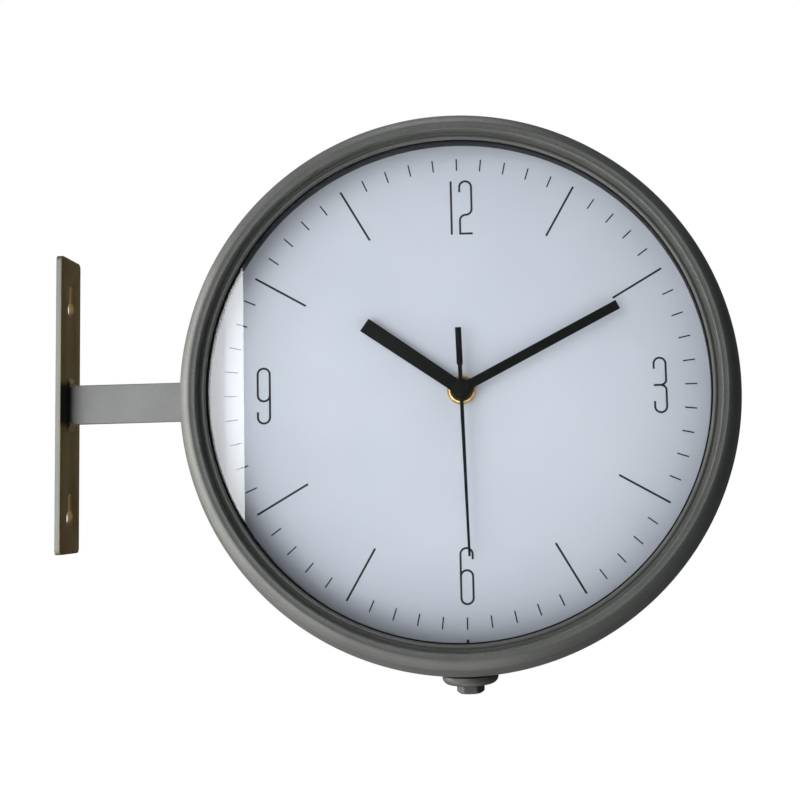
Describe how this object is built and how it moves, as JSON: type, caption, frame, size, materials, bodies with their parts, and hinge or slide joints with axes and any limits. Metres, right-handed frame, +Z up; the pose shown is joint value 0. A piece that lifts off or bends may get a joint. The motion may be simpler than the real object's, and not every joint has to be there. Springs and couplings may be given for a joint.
{
  "type": "double sided station clock",
  "caption": "Round double sided wall clock on a flat bracket arm with a keyhole wall plate, glazed bezels, thin numerals and two quartz movements.",
  "frame": {"origin": "middle of the wall plate's back face, on the wall", "axes": "+X points away from the wall along the arm, +Z is up, the front dial faces -Y and the rear dial faces +Y"},
  "size_m": [0.3662, 0.1, 0.3109],
  "materials": {
    "case_paint": "satin grey-green paint",
    "arm_paint": "satin grey paint",
    "plate_paint": "satin bronze-grey paint",
    "zinc_steel": "zinc plated",
    "dial_white": "matte cool white, printed in black",
    "glass": "clear float glass",
    "black_rubber": "matte",
    "hand_black": "matte black paint",
    "brass": "turned and polished",
    "black_plastic": "moulded, fine texture",
    "nylon": "natural moulding",
    "copper_wire": "enamelled copper winding",
    "battery_wrap": "plain printed sleeve"
  },
  "bodies": {
    "root": {"wall_plate": "plate_paint", "bracket_arm": "arm_paint", "arm_bolt_outer": "zinc_steel", "arm_bolt_inner": "zinc_steel", "case_drum": "case_paint", "centre_bridge": "zinc_steel", "cup_washer": "case_paint", "cup_bolt": "case_paint"},
    "front_unit": {"front_bezel": "case_paint", "front_gasket": "black_rubber", "front_glass": "glass", "front_spacer_ring": "black_plastic", "front_dial": "dial_white", "front_dial_retainer": "zinc_steel", "front_movement_case": "black_plastic", "front_movement_cover": "black_plastic", "front_rubber_washer": "black_rubber", "front_brass_washer": "brass", "front_brass_nut": "brass", "front_battery": "battery_wrap", "front_battery_contact_pos": "zinc_steel", "front_battery_contact_neg": "zinc_steel", "front_drive_coil": "copper_wire"},
    "front_seconds": {"front_second_wheel": "nylon", "front_second_hand": "hand_black"},
    "front_rotor_shaft": {"front_rotor": "zinc_steel"},
    "front_intermediate": {"front_intermediate_wheel": "nylon"},
    "front_third": {"front_third_wheel": "nylon"},
    "front_centre": {"front_centre_wheel": "nylon"},
    "front_minutes": {"front_minute_pipe": "nylon", "front_minute_hand": "hand_black"},
    "front_setting": {"front_setting_wheel": "nylon"},
    "front_hours": {"front_hour_wheel": "nylon", "front_hour_hand": "hand_black"},
    "rear_unit": {"rear_bezel": "case_paint", "rear_gasket": "black_rubber", "rear_glass": "glass", "rear_spacer_ring": "black_plastic", "rear_dial": "dial_white", "rear_dial_retainer": "zinc_steel", "rear_movement_case": "black_plastic", "rear_movement_cover": "black_plastic", "rear_rubber_washer": "black_rubber", "rear_brass_washer": "brass", "rear_brass_nut": "brass", "rear_battery": "battery_wrap", "rear_battery_contact_pos": "zinc_steel", "rear_battery_contact_neg": "zinc_steel", "rear_drive_coil": "copper_wire"},
    "rear_seconds": {"rear_second_wheel": "nylon", "rear_second_hand": "hand_black"},
    "rear_rotor_shaft": {"rear_rotor": "zinc_steel"},
    "rear_intermediate": {"rear_intermediate_wheel": "nylon"},
    "rear_third": {"rear_third_wheel": "nylon"},
    "rear_centre": {"rear_centre_wheel": "nylon"},
    "rear_minutes": {"rear_minute_pipe": "nylon", "rear_minute_hand": "hand_black"},
    "rear_setting": {"rear_setting_wheel": "nylon"},
    "rear_hours": {"rear_hour_wheel": "nylon", "rear_hour_hand": "hand_black"}
  },
  "joints": [
    {"name": "front_pull_off", "type": "slide", "parent": "root", "child": "front_unit", "axis": [0, -1, 0], "range_m": [0, 0.013]},
    {"name": "front_seconds_turn", "type": "hinge", "parent": "front_unit", "child": "front_seconds", "pos_m": [0.2162, -0.03, 0], "axis": [0, 1, 0], "continuous": true},
    {"name": "front_rotor_turn", "type": "hinge", "parent": "front_unit", "child": "front_rotor_shaft", "pos_m": [0.21164, -0.011, 0.01499], "axis": [0, 1, 0], "continuous": true},
    {"name": "front_intermediate_turn", "type": "hinge", "parent": "front_unit", "child": "front_intermediate", "pos_m": [0.21472, -0.009, 0.00837], "axis": [0, 1, 0], "continuous": true},
    {"name": "front_third_turn", "type": "hinge", "parent": "front_unit", "child": "front_third", "pos_m": [0.22512, -0.012, 0.00515], "axis": [0, 1, 0], "continuous": true},
    {"name": "front_centre_turn", "type": "hinge", "parent": "front_unit", "child": "front_centre", "pos_m": [0.2162, -0.014, 0], "axis": [0, 1, 0], "continuous": true},
    {"name": "front_minutes_turn", "type": "hinge", "parent": "front_unit", "child": "front_minutes", "pos_m": [0.2162, -0.03, 0], "axis": [0, 1, 0], "continuous": true},
    {"name": "front_setting_turn", "type": "hinge", "parent": "front_unit", "child": "front_setting", "pos_m": [0.2049, -0.01, 0], "axis": [0, 1, 0], "continuous": true},
    {"name": "front_hours_turn", "type": "hinge", "parent": "front_unit", "child": "front_hours", "pos_m": [0.2162, -0.025, 0], "axis": [0, 1, 0], "continuous": true},
    {"name": "rear_pull_off", "type": "slide", "parent": "root", "child": "rear_unit", "axis": [0, 1, 0], "range_m": [0, 0.013]},
    {"name": "rear_seconds_turn", "type": "hinge", "parent": "rear_unit", "child": "rear_seconds", "pos_m": [0.2162, 0.03, 0], "axis": [0, -1, 0], "continuous": true},
    {"name": "rear_rotor_turn", "type": "hinge", "parent": "rear_unit", "child": "rear_rotor_shaft", "pos_m": [0.22076, 0.011, 0.01499], "axis": [0, -1, 0], "continuous": true},
    {"name": "rear_intermediate_turn", "type": "hinge", "parent": "rear_unit", "child": "rear_intermediate", "pos_m": [0.21768, 0.009, 0.00837], "axis": [0, -1, 0], "continuous": true},
    {"name": "rear_third_turn", "type": "hinge", "parent": "rear_unit", "child": "rear_third", "pos_m": [0.20728, 0.012, 0.00515], "axis": [0, -1, 0], "continuous": true},
    {"name": "rear_centre_turn", "type": "hinge", "parent": "rear_unit", "child": "rear_centre", "pos_m": [0.2162, 0.014, 0], "axis": [0, -1, 0], "continuous": true},
    {"name": "rear_minutes_turn", "type": "hinge", "parent": "rear_unit", "child": "rear_minutes", "pos_m": [0.2162, 0.03, 0], "axis": [0, -1, 0], "continuous": true},
    {"name": "rear_setting_turn", "type": "hinge", "parent": "rear_unit", "child": "rear_setting", "pos_m": [0.2275, 0.01, 0], "axis": [0, -1, 0], "continuous": true},
    {"name": "rear_hours_turn", "type": "hinge", "parent": "rear_unit", "child": "rear_hours", "pos_m": [0.2162, 0.025, 0], "axis": [0, -1, 0], "continuous": true}
  ],
  "couplings": [
    {"joint": "front_rotor_turn", "follows": "front_seconds_turn", "ratio": 30},
    {"joint": "front_intermediate_turn", "follows": "front_seconds_turn", "ratio": -6},
    {"joint": "front_third_turn", "follows": "front_seconds_turn", "ratio": -0.13333},
    {"joint": "front_centre_turn", "follows": "front_seconds_turn", "ratio": 0.016667},
    {"joint": "front_setting_turn", "follows": "front_minutes_turn", "ratio": -0.33333},
    {"joint": "front_hours_turn", "follows": "front_minutes_turn", "ratio": 0.083333},
    {"joint": "rear_rotor_turn", "follows": "rear_seconds_turn", "ratio": 30},
    {"joint": "rear_intermediate_turn", "follows": "rear_seconds_turn", "ratio": -6},
    {"joint": "rear_third_turn", "follows": "rear_seconds_turn", "ratio": -0.13333},
    {"joint": "rear_centre_turn", "follows": "rear_seconds_turn", "ratio": 0.016667},
    {"joint": "rear_setting_turn", "follows": "rear_minutes_turn", "ratio": -0.33333},
    {"joint": "rear_hours_turn", "follows": "rear_minutes_turn", "ratio": 0.083333}
  ]
}
